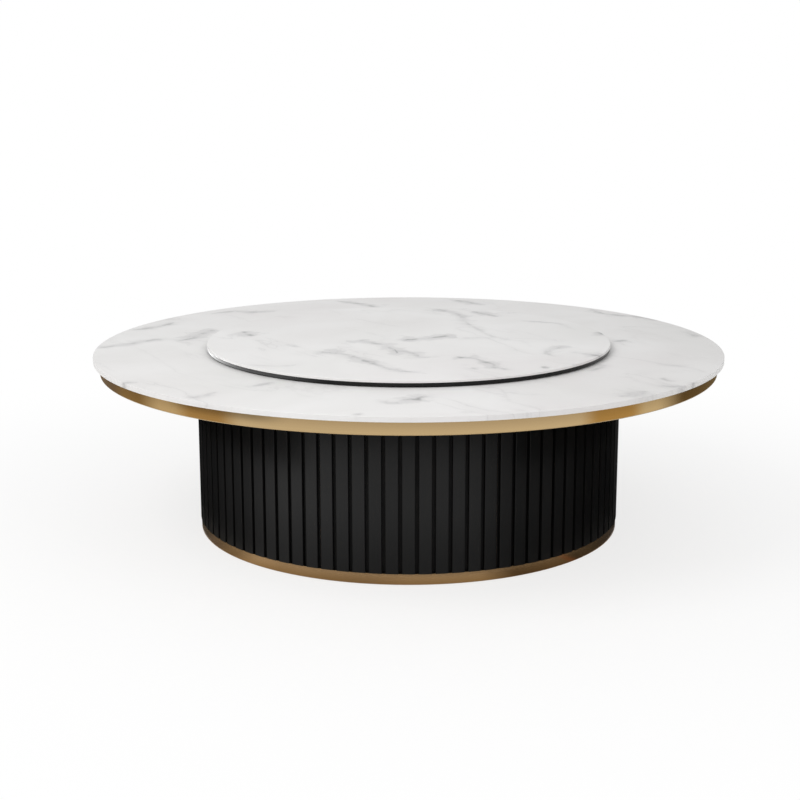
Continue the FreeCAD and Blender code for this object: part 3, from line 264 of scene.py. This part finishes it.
def stone(name, veins, shift):
    """Satin white stone with the given grey veins, soft clouds and faint drifting threads."""
    g = Graph(name)
    place = g.coord()
    seeded = g.vector("ADD", place, shift)
    wander = g.noise(seeded, 4.0, 6.0, 0.6, out="Color")
    wander = g.vector("SUBTRACT", wander, (0.5, 0.5, 0.5))
    bent = g.vector("ADD", place, g.scaled(wander, 0.07, 0.07, 0.0))
    width_noise = g.ramp(g.noise(seeded, 14.0, 4.0, 0.6), 0.3, 0.7, 2.2, 0.55)
    core, soft = 0.0, 0.0
    for half, halo, points in veins:
        one_core, one_soft = vein(g, bent, width_noise, half, halo, points)
        core = g.math("MAXIMUM", one_core, core)
        soft = g.math("MAXIMUM", one_soft, soft)
    spots = g.ramp(g.noise(seeded, 15.0, 4.0, 0.6), 0.40, 0.60, 0.10, 1.0, smooth=True)
    core = g.math("MULTIPLY", core, spots)
    ragged = g.ramp(g.noise(bent, 9.0, 6.0, 0.65, 0.5), 0.3, 0.7, 0.45, 1.55)
    patch = g.ramp(g.math("MULTIPLY", soft, ragged), 0.12, 0.50, smooth=True)
    cloud = g.ramp(g.noise(seeded, 1.6, 5.0, 0.55, 0.6), 0.32, 0.68)
    tint = g.ramp(g.noise(seeded, 0.9, 2.0, 0.5), 0.35, 0.65)
    drawn = g.vector("ADD", bent, shift)
    along = g.vector("DOT_PRODUCT", drawn, (0.50, -0.66, 0))
    across = g.vector("DOT_PRODUCT", drawn, (1.95, 1.48, 0))
    ridge = g.from_middle(g.noise(g.join(along, across), 1.0, 5.0, 0.55, 0.5))
    where = g.ramp(g.noise(seeded, 1.9, 2.0), 0.44, 0.60)
    thread = g.math("MULTIPLY", g.ramp(ridge, 0.009, 0.0, smooth=True), where)
    wisp = g.math("MULTIPLY", g.ramp(ridge, 0.050, 0.0, smooth=True), where)
    grain = g.ramp(g.noise(seeded, 160.0, 3.0, 0.7), 0.3, 0.7)
    colour = g.mix(tint, (0.775, 0.750, 0.745), (0.770, 0.765, 0.748))
    colour = g.mix(cloud, colour, (0.860, 0.853, 0.846))
    colour = g.mix(g.math("MULTIPLY", grain, 0.3), colour, (0.85, 0.84, 0.835))
    colour = g.mix(g.math("MULTIPLY", wisp, 0.10), colour, (0.46, 0.45, 0.452))
    colour = g.mix(g.math("MULTIPLY", thread, 0.18), colour, (0.40, 0.39, 0.392))
    colour = g.mix(g.math("MULTIPLY", soft, 0.16), colour, (0.46, 0.45, 0.452))
    colour = g.mix(g.math("MULTIPLY", patch, 0.33), colour, (0.50, 0.495, 0.498))
    colour = g.mix(g.math("MULTIPLY", core, 0.72), colour, (0.22, 0.217, 0.218))
    up = g.split(g.coord("Normal"))[2]
    polish = g.ramp(g.noise(seeded, 5.0, 3.0), 0.3, 0.7, 0.40, 0.48)
    sawn = g.ramp(up, -0.5, -0.9)
    rough = g.math("MULTIPLY_ADD", sawn, 0.3, polish)
    rough = g.math("MULTIPLY_ADD", core, 0.06, rough)
    return g.finish(Base_Color=colour, Roughness=rough)


# ---------------------------------------------------------------- metals


def brass(name, lower, upper, rough, foot, top):
    """Brushed steel with a brass-coloured coating. Its colour grades between the heights foot and
    top:
    on the band this is painted shade, darker towards the top under the stone's overhang, and on
    the base ring it is darker towards the floor. The brush lines run level round the table."""
    g = Graph(name)
    place = g.coord()
    lines = g.noise(g.scaled(place, 1.5, 1.5, 1900), 1.0, 3.0, 0.6)
    wide = g.noise(g.scaled(place, 0.8, 0.8, 260), 1.0, 2.0, 0.5)
    smear = g.noise(place, 3.0, 3.0, 0.5)
    tone = g.math("MULTIPLY_ADD", wide, 0.5, g.math("MULTIPLY", lines, 0.5))
    tone = g.ramp(tone, 0.3, 0.7, -0.12, 0.12)
    # Painted shade on the band: the colour grades from lower to upper between foot and top. On the
    # base ring this grading makes it darker towards the floor.
    height = g.ramp(g.split(place)[2], foot, top, smooth=True)
    colour = g.mix(g.math("ADD", height, tone, clamp=True), lower, upper)
    polish = g.ramp(smear, 0.3, 0.7, rough - 0.02, rough + 0.03)
    polish = g.math("MULTIPLY_ADD", lines, 0.04, polish)
    normal = g.bump(lines, 0.00008)
    return g.finish(Base_Color=colour, Metallic=1.0, Roughness=polish, Normal=normal)


def powder_coat(name):
    """Black powder coat with its fine pebbled skin."""
    g = Graph(name)
    place = g.coord()
    pebble = g.noise(place, 900.0, 2.0, 0.5)
    tone = g.noise(place, 9.0, 4.0, 0.6)
    colour = g.mix(g.ramp(tone, 0.3, 0.7), (0.030, 0.030, 0.032), (0.044, 0.044, 0.046))
    rough = g.ramp(pebble, 0.3, 0.7, 0.48, 0.60)
    return g.finish(Base_Color=colour, Roughness=rough, Normal=g.bump(pebble, 0.0002))


def plated(name, light, dark, rough, grit):
    """Bright plated or polished metal with a slight mottle."""
    g = Graph(name)
    place = g.coord()
    mottle = g.noise(place, grit, 4.0, 0.6)
    haze = g.noise(place, grit / 6, 3.0, 0.5)
    colour = g.mix(g.ramp(mottle, 0.3, 0.7), dark, light)
    polish = g.ramp(haze, 0.3, 0.7, rough, rough + 0.12)
    normal = g.bump(mottle, 0.00005)
    return g.finish(Base_Color=colour, Metallic=1.0, Roughness=polish, Normal=normal)


def turned(name):
    """Aluminium turned about the table's axis, with fine circular tool lines."""
    g = Graph(name)
    place = g.coord()
    radius = g.vector("LENGTH", g.flat(place))
    height = g.split(place)[2]
    groove = g.noise(g.scaled(g.join(radius, height), 1800, 1800, 0), 1.0, 2.0)
    stain = g.noise(place, 7.0, 4.0, 0.6)
    colour = g.mix(g.ramp(stain, 0.3, 0.7), (0.68, 0.69, 0.70), (0.79, 0.80, 0.81))
    rough = g.ramp(groove, 0.3, 0.7, 0.26, 0.4)
    normal = g.bump(groove, 0.00006)
    return g.finish(Base_Color=colour, Metallic=1.0, Roughness=rough, Normal=normal)


# ---------------------------------------------------------------- wood and lacquer

SLATS = 88  # slats round the drum
SLAT_RADIUS = 0.88  # of the drum's face, for the grain's width on it
CURB_RIM = 0.858  # radius beyond which the curb is stained
PLY = 0.0028  # two layers of the plywood, a light and a dark one
BLACK_STAIN = ((0.0035, 0.0035, 0.0035), (0.0070, 0.0068, 0.0066))


def slat_lacquer(name):
    """Satin black lacquer on upright slats: each slat has its own tone, and fine upright grain
    shows under the lacquer."""
    g = Graph(name)
    place = g.coord()
    x, y, z = g.split(place)
    angle = g.math("ARCTAN2", y, x)
    number = g.math("FLOOR", g.math("MULTIPLY_ADD", angle, SLATS / (2 * math.pi), 0.5))
    each = g.cells(number)
    across = g.math("MULTIPLY", angle, SLAT_RADIUS)
    shifted = g.math("MULTIPLY_ADD", each, 7.0, z)
    grain = g.noise(g.scaled(g.join(across, shifted), 420, 6, 0), 1.0, 5.0, 0.65)
    peel = g.noise(place, 260.0, 2.0, 0.5)
    worn = g.noise(place, 5.0, 4.0, 0.6)
    colour = g.mix(each, (0.0032, 0.0032, 0.0032), (0.0062, 0.0061, 0.0060))
    colour = g.mix(g.ramp(grain, 0.35, 0.7, 0.0, 0.5), colour, (0.009, 0.0088, 0.0086))
    rough = g.ramp(worn, 0.3, 0.7, 0.34, 0.42)
    rough = g.math("MULTIPLY_ADD", each, 0.05, rough)
    height = g.math("MULTIPLY_ADD", peel, 0.35, grain)
    normal = g.bump(height, 0.00012)
    return g.finish(Base_Color=colour, Roughness=rough, Specular_IOR_Level=0.3, Normal=normal)


def gloss_lacquer(name):
    """Gloss black lacquer with a faint ripple."""
    g = Graph(name)
    place = g.coord()
    ripple = g.noise(place, 120.0, 2.0, 0.5)
    dust = g.noise(place, 12.0, 4.0, 0.6)
    colour = g.mix(g.ramp(dust, 0.3, 0.7), (0.005, 0.005, 0.005), (0.009, 0.009, 0.009))
    rough = g.ramp(dust, 0.3, 0.7, 0.16, 0.26)
    normal = g.bump(ripple, 0.00006)
    return g.finish(Base_Color=colour, Roughness=rough, Specular_IOR_Level=0.2, Normal=normal)


def plywood(name, bent=False, stained_from=None):
    """Birch plywood. Its faces show grain and its cut edges show the layers. The gaps between the
    slats show a bent panel's outside, which is stained black, and the curb, which is stained black
    from the given radius."""
    g = Graph(name)
    place = g.coord()
    x, y, z = g.split(place)
    flat = g.flat(place)
    facing = g.coord("Normal")
    outward = g.vector("DOT_PRODUCT", g.vector("NORMALIZE", flat), facing)
    radius = g.vector("LENGTH", flat)
    if bent:
        angle = g.math("ARCTAN2", y, x)
        along = g.scaled(g.join(angle, z, radius), 34, 3, 40)
        depth = radius
        face = g.ramp(g.math("ABSOLUTE", outward), 0.5, 0.6)
    else:
        along = g.scaled(place, 3, 40, 40)
        depth = z
        face = g.ramp(g.math("ABSOLUTE", g.split(facing)[2]), 0.5, 0.6)
    figure = g.noise(along, 1.0, 5.0, 0.6, 0.8)
    fibre = g.noise(g.vector("MULTIPLY", along, (4, 8, 8)), 1.0, 3.0, 0.6)
    veneer = g.mix(g.ramp(figure, 0.3, 0.7), (0.56, 0.42, 0.27), (0.70, 0.56, 0.39))
    veneer = g.mix(g.ramp(fibre, 0.4, 0.7, 0.0, 0.35), veneer, (0.48, 0.34, 0.20))
    layer = g.math("FRACT", g.math("MULTIPLY", depth, 1 / PLY))
    ply = g.ramp(g.from_middle(layer), 0.22, 0.28)
    edge = g.mix(ply, (0.62, 0.48, 0.32), (0.34, 0.22, 0.13))
    edge = g.mix(g.ramp(fibre, 0.3, 0.7, 0.0, 0.4), edge, (0.50, 0.37, 0.23))
    colour = g.mix(face, edge, veneer)
    rough = g.ramp(fibre, 0.3, 0.7, 0.62, 0.75)
    stained = g.ramp(outward, 0.4, 0.6) if bent else None
    if stained_from:
        stained = g.ramp(radius, stained_from, stained_from + 0.002)
    if stained:
        stain = g.ramp(g.noise(place, 14.0, 4.0, 0.6), 0.3, 0.7)
        colour = g.mix(stained, colour, g.mix(stain, *BLACK_STAIN))
    normal = g.bump(fibre, 0.0002)
    return g.finish(Base_Color=colour, Roughness=rough, Specular_IOR_Level=0.2, Normal=normal)


def pine(name):
    """Planed softwood with upright growth rings."""
    g = Graph(name)
    place = g.coord()
    bow = g.noise(g.scaled(place, 3, 3, 1.2), 1.0, 2.0)
    grown = g.vector("ADD", g.scaled(place, 70, 70, 1.5), g.join(g.math("MULTIPLY", bow, 9.0)))
    ring = g.noise(grown, 1.0, 3.0, 0.6)
    fibre = g.noise(g.scaled(place, 700, 700, 14), 1.0, 2.0)
    colour = g.mix(g.ramp(ring, 0.35, 0.65), (0.50, 0.33, 0.17), (0.72, 0.56, 0.38))
    colour = g.mix(g.ramp(fibre, 0.4, 0.7, 0.0, 0.25), colour, (0.46, 0.31, 0.17))
    rough = g.ramp(fibre, 0.3, 0.7, 0.6, 0.72)
    return g.finish(Base_Color=colour, Roughness=rough, Normal=g.bump(fibre, 0.0002))


# ---------------------------------------------------------------- plastics and rubber


def moulded(name, light, dark, rough):
    """Moulded plastic or rubber with a fine eroded texture."""
    g = Graph(name)
    place = g.coord()
    skin = g.noise(place, 1200.0, 2.0, 0.5)
    tone = g.noise(place, 30.0, 4.0, 0.6)
    colour = g.mix(g.ramp(tone, 0.3, 0.7), dark, light)
    polish = g.ramp(skin, 0.3, 0.7, rough - 0.05, rough + 0.05)
    return g.finish(Base_Color=colour, Roughness=polish, Normal=g.bump(skin, 0.00012))


# ---------------------------------------------------------------- finishes on the nodes

# By the name of a node or else of its CAD material
finishes = {
    "white_stone": stone("white_stone_top", RING_VEINS, (3.1, 7.4, 0.0)),
    "turntable_stone": stone("white_stone_turntable", SUSAN_VEINS, (11.7, 2.3, 0.0)),
    # The band's upper colour is darker: painted shade under the stone's overhang.
    "brass_finished_steel": brass(
        "brushed_brass", (0.54, 0.385, 0.20), (0.42, 0.295, 0.155), 0.13, 0.680, 0.732
    ),
    "plinth_trim": brass(
        "brushed_brass_base", (0.43, 0.258, 0.11), (0.56, 0.362, 0.185), 0.18, 0.003, 0.045
    ),
    "black_lacquered_slat": slat_lacquer("satin_black_slats"),
    "black_backed_plywood": plywood("bent_plywood", bent=True),
    "plywood": plywood("birch_plywood"),
    "base_curb": plywood("birch_plywood_stained_rim", stained_from=CURB_RIM),
    "timber": pine("planed_pine"),
    "black_lacquered_board": gloss_lacquer("gloss_black_board"),
    "black_painted_steel": powder_coat("black_powder_coat"),
    "zinc_plated_steel": plated("zinc_plate", (0.64, 0.66, 0.68), (0.52, 0.53, 0.54), 0.26, 220.0),
    "plain_aluminium": turned("turned_aluminium"),
    "white_nylon": moulded("white_nylon", (0.80, 0.79, 0.75), (0.74, 0.73, 0.69), 0.5),
    "black_nylon": moulded("black_nylon", (0.034, 0.034, 0.035), (0.022, 0.022, 0.023), 0.5),
    "bearing_steel": plated("bearing_steel", (0.76, 0.76, 0.77), (0.68, 0.68, 0.69), 0.08, 400.0),
    "grey_rubber": moulded("grey_rubber", (0.22, 0.22, 0.23), (0.17, 0.17, 0.18), 0.8),
}
for name, node in nodes.items():
    for material_slot in node.material_slots:
        slot_name = material_slot.material.name.split(".")[0]
        material_slot.material = finishes.get(name, finishes[slot_name])


# ---------------------------------------------------------------- floor, painted reflections, light and camera

FLOOR_RADIUS = 400.0  # past the camera's horizon
WORLD_LIGHT = 0.55  # strength of the white world as a light, where rays that show it meet 1
ZONE_SPAN = 240  # degrees round the front that a painted reflection's zones can cover
FACET = 2  # degrees of a painted reflection's arc that one facet spans
STONE_FACE = 0.7503  # height just clear of the stone's upper face


def seen_rays(g):
    """1 for rays that show the surroundings: straight from the camera, mirrored or let through."""
    path = g.add("LightPath").outputs
    seen = g.math("MAXIMUM", path["Is Camera Ray"], path["Is Glossy Ray"])
    return g.math("MAXIMUM", seen, path["Is Transmission Ray"])


def disc(name, radius, sides=128):
    """Flat round sheet at height 0."""
    mesh = bpy.data.meshes.new(name)
    ring = [
        (radius * math.cos(2 * math.pi * k / sides), radius * math.sin(2 * math.pi * k / sides), 0)
        for k in range(sides)
    ]
    mesh.from_pydata(ring, [], [list(range(sides))])
    item = bpy.data.objects.new(name, mesh)
    bpy.context.scene.collection.objects.link(item)
    return item


def floor_material():
    """Pale floor that keeps the soft shadow near the table and runs out to plain white."""
    g = Graph("pale_floor")
    radius = g.vector("LENGTH", g.flat(g.coord()))
    speck = g.ramp(g.noise(g.coord(), 40.0, 3.0), 0.3, 0.7)
    diffuse = g.add("BsdfDiffuse")
    g.feed(diffuse.inputs["Color"], g.mix(speck, (0.95, 0.95, 0.95), (0.97, 0.97, 0.97)))
    white = g.add("Emission")
    white.inputs["Color"].default_value = (1, 1, 1, 1)
    path = g.add("LightPath").outputs
    shown = g.math("MAXIMUM", path["Is Camera Ray"], path["Is Transmission Ray"])
    shown = g.math("MULTIPLY", shown, g.ramp(radius, 0.9, 3.4, 0.74, 1.0, smooth=True))
    mirrored = g.ramp(radius, 1.0, 4.0, 0.1, 1.0, smooth=True)
    mirrored = g.math("MULTIPLY", path["Is Glossy Ray"], mirrored)
    blend = g.add("MixShader")
    g.feed(blend.inputs[0], g.math("MAXIMUM", shown, mirrored))
    g.feed(blend.inputs[1], diffuse.outputs[0])
    g.feed(blend.inputs[2], white.outputs[0])
    output = g.add("OutputMaterial")
    g.feed(output.inputs["Surface"], blend.outputs[0])
    return g.material


floor = disc("floor", FLOOR_RADIUS)
floor.data.materials.append(floor_material())


def painted_reflection(name, span, fades, foot, top, zones, tone):
    """Glowing sheet round the table, seen only by glossy rays, that paints reflections into the
    gloss
    of the metal, lacquer and stone: painted shade in its dark zones and painted highlights and
    glints in its light ones.
    It spans the given degrees from the front, left negative, and fades out over so many degrees
    beyond either end. Its foot and top are each a radius and a height, and the top's may depend on
    the direction. Each zone is a start, an end and a grey or colour, and the colours blend between
    the zones. The tone is a factor for them, a number or a function of the place. Only the inner
    or upper side glows, and the other is clear."""
    start, end = span[0] - fades[0], span[1] + fades[1]
    steps = round((end - start) / FACET)
    verts = []
    for edge in (foot, top):
        for k in range(steps + 1):
            turn = start + (end - start) * k / steps
            radius, height = edge(turn) if callable(edge) else edge
            a = math.radians(turn)
            verts.append((radius * math.sin(a), -radius * math.cos(a), height))
    count = steps + 1
    mesh = bpy.data.meshes.new(name)
    mesh.from_pydata(verts, [], [(k, k + 1, count + k + 1, count + k) for k in range(steps)])
    item = bpy.data.objects.new(name, mesh)
    bpy.context.scene.collection.objects.link(item)
    g = Graph(name)
    x, y, z = g.split(g.coord())
    side = g.math("ARCTAN2", x, g.math("MULTIPLY", y, -1.0))
    ramp = g.add("ValToRGB")
    g.feed(ramp.inputs[0], g.math("MULTIPLY_ADD", side, 1 / math.radians(ZONE_SPAN), 0.5))
    stops = [(turn / ZONE_SPAN + 0.5, zone[2]) for zone in zones for turn in zone[:2]]
    elements = ramp.color_ramp.elements
    while len(elements) < len(stops):
        elements.new(1.0)
    for element, (place, colour) in zip(elements, stops):
        element.position = place
        element.color = (*(colour if isinstance(colour, tuple) else (colour,) * 3), 1)
    glow = g.add("Emission")
    g.feed(glow.inputs["Color"], ramp.outputs[0])
    g.feed(glow.inputs["Strength"], tone(g, x, side, z) if callable(tone) else tone)
    seen = g.add("NewGeometry").outputs["Backfacing"]
    for near, far in zip(span, (start, end)):
        if near != far:
            fade = g.ramp(side, math.radians(far), math.radians(near), smooth=True)
            seen = g.math("MULTIPLY", seen, fade)
    sides = g.add("MixShader")
    g.feed(sides.inputs[0], seen)
    g.feed(sides.inputs[1], g.add("BsdfTransparent").outputs[0])
    g.feed(sides.inputs[2], glow.outputs[0])
    output = g.add("OutputMaterial")
    g.feed(output.inputs["Surface"], sides.outputs[0])
    mesh.materials.append(g.material)
    for ray in ("camera", "diffuse", "transmission", "volume_scatter", "shadow"):
        setattr(item, "visible_" + ray, False)


def drum_painted_shade(g, x, side, z):
    """Painted shade in the slats' reflection: dimmer near the floor and under the top, most of all
    under the top at both sides.
    """
    rise = g.curve(z, [
        (0.0, 0.3), (0.04, 0.5), (0.10, 0.62), (0.26, 1.0), (0.42, 1.0), (0.50, 0.78), (0.54, 0.4),
        (0.7, 0.4),
    ], "VECTOR")
    # Painted shade under the top at both sides.
    corner_shade = g.ramp(g.math("ABSOLUTE", side), math.radians(24), math.radians(35), smooth=True)
    corner_shade = g.math("MULTIPLY", corner_shade, g.ramp(z, 0.36, 0.46, 0.0, 0.85, smooth=True))
    return g.math("MULTIPLY", rise, g.math("SUBTRACT", 1.0, corner_shade))


def band_painted_shade(g, x, side, z):
    """Painted shade in the band's reflection: dimmer near the stone, left of the middle."""
    # Painted shade: the band's reflection is dimmed near the stone.
    high = g.ramp(z, 0.664, 0.692, 0.0, 0.45, smooth=True)
    near = g.ramp(side, math.radians(-50), math.radians(-43), smooth=True)
    far = g.ramp(side, math.radians(-20), math.radians(-28), smooth=True)
    return g.math("SUBTRACT", 1.0, g.math("MULTIPLY", high, g.math("MULTIPLY", near, far)))


# Painted reflection in the slats' satin: its dark zones paint shade towards the sides, its light
# zones paint a sheen left of the middle, and the drum's painted shade darkens it near the floor and
# under the top.
painted_reflection("painted_reflection_drum", (-100, 84), (40, 40), (0.985, 0.003), (0.985, 0.675), [
    (-100, -72, 0.04), (-61, -59, 0.17), (-51, -50, 0.30), (-43, -42, 0.72),
    (-35, -22, 0.94), (-9, -6, 0.79), (12, 15, 0.70), (23, 24, 0.46), (28, 32, 0.25),
    (38, 40, 0.16), (47, 48, 0.10), (56, 84, 0.02),
], drum_painted_shade)
# Painted reflection in the band: its brown zones paint the dark ends and shade, and its pale zones
# paint highlights.
painted_reflection("painted_reflection_band", (-92, 86), (40, 40), (1.37, 0.56),
       lambda turn: (1.37, 0.710 - 0.053 * min(1, abs(turn) / 92) ** 2.5), [
    (-92, -73, (0.22, 0.17, 0.12)), (-66, -58, (0.37, 0.28, 0.15)), (-51, -46, (0.86, 0.80, 0.67)),
    (-42, -34.5, (0.63, 0.48, 0.27)), (-30.5, 31, (0.95, 0.95, 0.93)),
    (34.5, 43.5, (0.68, 0.51, 0.25)), (46.5, 51, (0.92, 0.90, 0.80)), (60, 86, (0.18, 0.135, 0.07)),
], band_painted_shade)
# Painted reflection in the base ring: its dark zones paint shade towards either side, and the
# reddish zone from 47 to 48 degrees paints a glint.
painted_reflection("painted_reflection_ring", (-112, 102), (30, 30), (0.884, 0.002), (0.975, 0.002), [
    (-112, -86, (0.035, 0.033, 0.03)), (-80, -74, (0.10, 0.09, 0.075)),
    (-68, -64, (0.19, 0.17, 0.145)), (-57, -54, (0.32, 0.295, 0.25)),
    (-46, -43, (0.60, 0.58, 0.55)), (-36, -30, (0.50, 0.48, 0.45)),
    (-15, -10, (0.41, 0.39, 0.37)), (0, 19, (0.50, 0.48, 0.45)),
    (28.5, 31, (0.155, 0.14, 0.12)), (40, 46, (0.195, 0.175, 0.15)), (47, 48, (0.24, 0.14, 0.10)),
    (50, 57, (0.09, 0.085, 0.075)), (66, 76, (0.06, 0.055, 0.05)),
    (82, 102, (0.03, 0.028, 0.025)),
], 1.0)
# Painted highlight: a card glowing just above the stone left of the turntable paints a bright
# reflection on the left end of the turntable's black edge.
painted_reflection("painted_reflection_turntable", (-89, -21), (40, 0), (0.845, STONE_FACE),
       lambda turn: (0.851 + 0.058 * min(1, max(0, turn + 90) / 62), STONE_FACE), [
    (-89, -84, 2.6), (-76, -62, 4.2), (-52, -36, 3.2), (-22, -21, 0.7),
], 1.0)


def walls_painted_light(g, x, side, z):
    """Painted light and shade in the walls' reflection: lightest behind the middle and dim behind
    the right.
    """
    across = g.math("MULTIPLY_ADD", x, 1 / 12, 0.5)
    return g.curve(across, [
        (0.0, 0.5), (0.22, 0.62), (0.46, 1.0), (0.6, 0.9), (0.76, 0.45), (1.0, 0.3),
    ], "VECTOR")


# Painted reflection of walls in the gloss of the stone and metal, lighter behind the middle and
# dimmer behind the right.
painted_reflection("painted_reflection_walls", (-180, 180), (0, 0), (9.0, 0.6), (9.0, 8.0), [(-120, 120, 1.0)], walls_painted_light)

world = bpy.data.worlds.new("studio")
world.use_nodes = True
bpy.context.scene.world = world
sky = Graph("studio", world.node_tree)
background = sky.add("Background")
background.inputs["Color"].default_value = (1, 1, 1, 1)
strength = sky.math("MULTIPLY_ADD", seen_rays(sky), 1 - WORLD_LIGHT, WORLD_LIGHT)
sky.feed(background.inputs["Strength"], strength)
sky.feed(sky.add("OutputWorld").inputs["Surface"], background.outputs[0])


def soft_light(name, direction, elevation, distance, size, watts):
    """Round softbox that faces the table. Its direction is in degrees from the front, left
    negative."""
    turn, rise = math.radians(direction), math.radians(elevation)
    aim = Vector((0, 0, 0.5))
    level = math.cos(rise)
    away = Vector((math.sin(turn) * level, -math.cos(turn) * level, math.sin(rise)))
    data = bpy.data.lights.new(name, "AREA")
    data.shape = "DISK"
    data.size = size
    data.energy = watts
    item = bpy.data.objects.new(name, data)
    item.location = aim + distance * away
    item.rotation_euler = away.to_track_quat("Z", "Y").to_euler()
    item.visible_camera = False
    bpy.context.scene.collection.objects.link(item)


soft_light("key", -50, 45, 6.5, 4.0, 166)
soft_light("fill", 40, 36, 6.5, 4.0, 65)

# The lens, place and tilt come from a fit of the photograph's ellipses.
camera_data = bpy.data.cameras.new("camera")
camera_data.sensor_width = 36.0
camera_data.lens = 70.22
camera_data.shift_x = -0.0108
camera_data.clip_end = 1000.0
camera = bpy.data.objects.new("camera", camera_data)
camera.location = (0.0, -6.4355, 1.9652)
camera.rotation_euler = (math.radians(77.306), 0.0, 0.0)
bpy.context.scene.collection.objects.link(camera)
bpy.context.scene.camera = camera
bpy.context.scene.view_settings.view_transform = "Standard"
